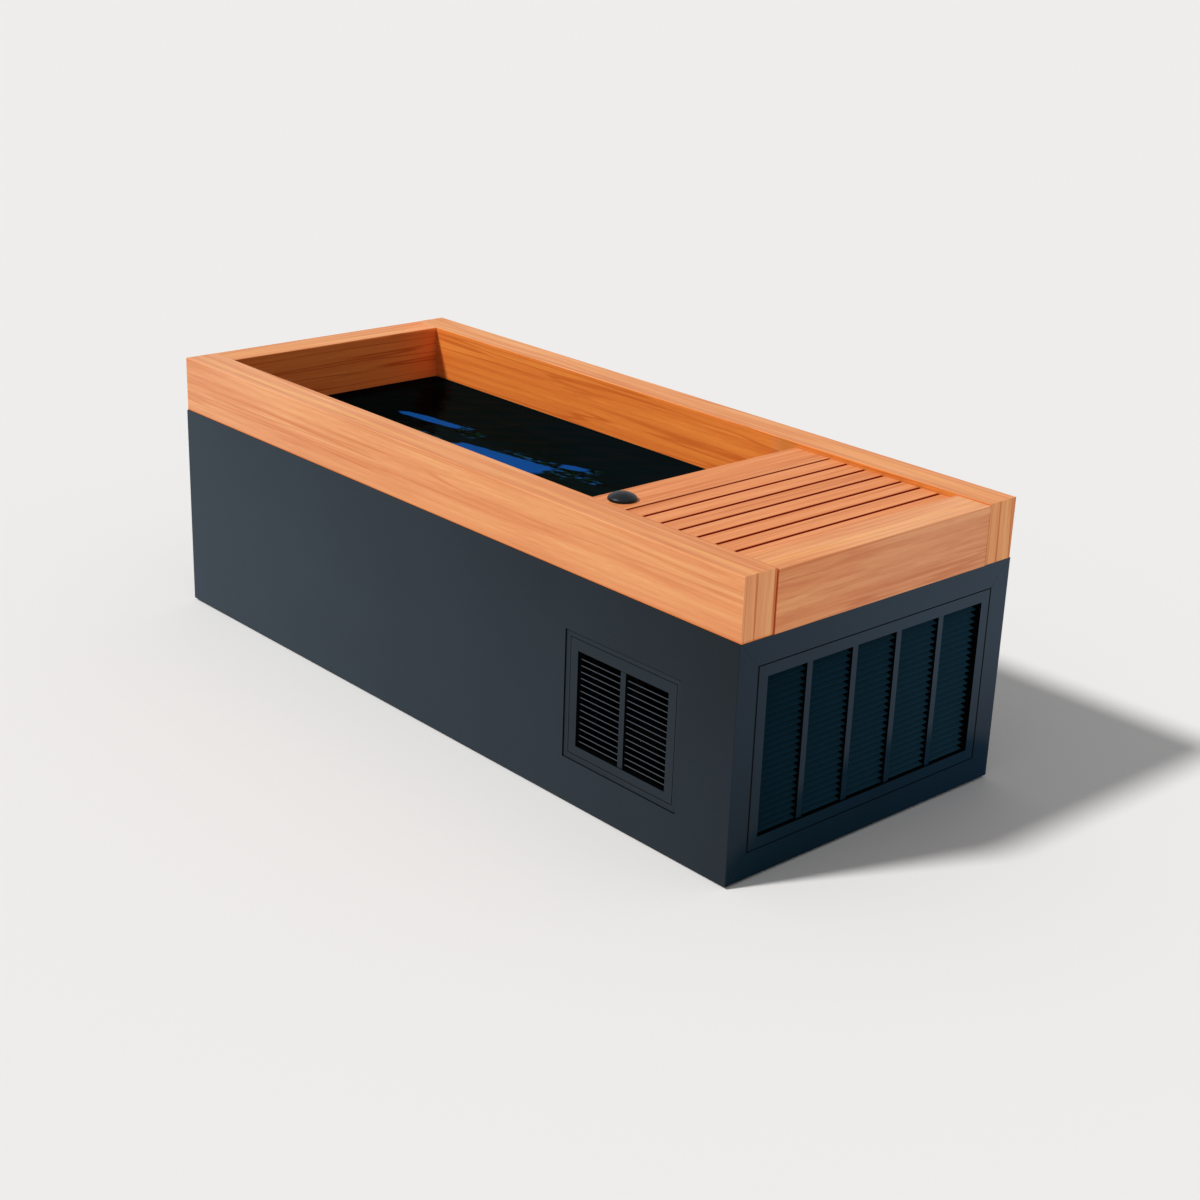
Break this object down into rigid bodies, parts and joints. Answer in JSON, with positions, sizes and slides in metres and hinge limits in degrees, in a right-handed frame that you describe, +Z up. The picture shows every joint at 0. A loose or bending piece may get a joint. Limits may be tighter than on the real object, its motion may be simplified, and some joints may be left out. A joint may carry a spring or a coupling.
{
  "type": "cold plunge tub",
  "caption": "Steel-cased cold plunge tub with a cedar rim, an open basin, a slatted deck over the machine bay, a dome air button and louvred vents.",
  "frame": {"origin": "on the floor, under the middle of the case", "axes": "+X along the case towards the vented machine end, +Y towards the back, with the side vent in the front face at -Y, +Z up"},
  "size_m": [2.0435, 0.846, 0.6815],
  "materials": {
    "case_steel": "satin",
    "vent_black": "matt",
    "frame_steel": "matt",
    "foot_rubber": "matt",
    "plywood": "matt",
    "zinc_steel": "satin",
    "basin_steel": "satin",
    "foam": "matt",
    "cedar": "oiled",
    "button_black": "satin",
    "spring_steel": "satin",
    "shell_black": "satin",
    "coil_aluminium": "satin",
    "fan_plastic": "matt",
    "vessel_grey": "matt",
    "motor_paint": "satin",
    "cartridge_white": "matt",
    "box_grey": "matt",
    "pipe_white": "satin",
    "copper": "satin",
    "brass": "satin",
    "lever_red": "satin"
  },
  "bodies": {
    "case": {"base_long_tubes": "frame_steel", "base_cross_tubes": "frame_steel", "frame_posts": "frame_steel", "top_long_tubes": "frame_steel", "top_cross_tubes": "frame_steel", "levelling_feet": "foot_rubber", "floor_board": "plywood", "front_panel": "case_steel", "back_panel": "case_steel", "far_end_panel": "case_steel", "end_frame_top": "case_steel", "end_frame_bottom": "case_steel", "end_frame_front": "case_steel", "end_frame_back": "case_steel", "side_vent_trim": "case_steel", "grille_catches": "zinc_steel", "tub_liner": "basin_steel", "foam_boards": "foam", "floor_foam": "foam", "bulkhead": "zinc_steel", "front_rail": "cedar", "back_rail": "cedar", "far_end_rail": "cedar", "near_end_rail": "cedar", "cross_rail": "cedar", "rail_screws": "zinc_steel", "deck_front_board": "cedar", "deck_ledgers": "cedar", "button_body": "button_black", "button_spring": "spring_steel", "button_nut": "button_black", "compressor": "shell_black", "condenser_coil": "coil_aluminium", "fan_shroud": "fan_plastic", "fan_motor": "shell_black", "heat_exchanger": "vessel_grey", "pump_casing": "shell_black", "pump_motor": "motor_paint", "filter_housing": "vessel_grey", "filter_cartridge": "cartridge_white", "control_box": "box_grey", "water_pipes": "pipe_white", "refrigerant_lines": "copper", "wall_fittings": "vessel_grey", "service_niche": "case_steel", "drain_valve": "brass"},
    "hatch": {"hatch_slats": "cedar", "hatch_battens": "cedar", "hatch_screws": "zinc_steel"},
    "button": {"button_dome": "button_black"},
    "end_grille": {"end_grille_frame": "case_steel", "end_vent_boxes": "vent_black", "end_louvres": "case_steel"},
    "side_grille": {"side_grille_frame": "case_steel", "side_vent_boxes": "vent_black", "side_louvres": "case_steel"},
    "fan": {"fan_rotor": "fan_plastic"},
    "pump_rotor": {"pump_impeller": "spring_steel"},
    "lid": {"filter_lid": "shell_black"},
    "lever": {"drain_lever": "lever_red"}
  },
  "joints": [
    {"name": "hatch_lift", "type": "slide", "parent": "case", "child": "hatch", "axis": [0, 0, 1], "range_m": [0, 0.25]},
    {"name": "button_press", "type": "slide", "parent": "case", "child": "button", "axis": [0, 0, -1], "range_m": [0, 0.002], "stiffness_N_per_m": 600, "deforming": ["button_spring"]},
    {"name": "end_grille_pull", "type": "slide", "parent": "case", "child": "end_grille", "axis": [1, 0, 0], "range_m": [0, 0.06]},
    {"name": "side_grille_pull", "type": "slide", "parent": "case", "child": "side_grille", "axis": [0, -1, 0], "range_m": [0, 0.05]},
    {"name": "fan_spin", "type": "hinge", "parent": "case", "child": "fan", "pos_m": [0.868, 0.15, 0.262], "axis": [1, 0, 0], "continuous": true},
    {"name": "pump_spin", "type": "hinge", "parent": "case", "child": "pump_rotor", "pos_m": [0.5895, -0.2745, 0.152], "axis": [1, 0, 0], "continuous": true},
    {"name": "filter_lid_turn", "type": "hinge", "parent": "case", "child": "lid", "pos_m": [0.6795, -0.1395, 0.517], "axis": [0, 0, 1], "range_deg": [0, 60]},
    {"name": "drain_lever_turn", "type": "hinge", "parent": "case", "child": "lever", "pos_m": [0.5695, 0.3725, 0.148], "axis": [0, 0, 1], "range_deg": [0, 90]}
  ]
}
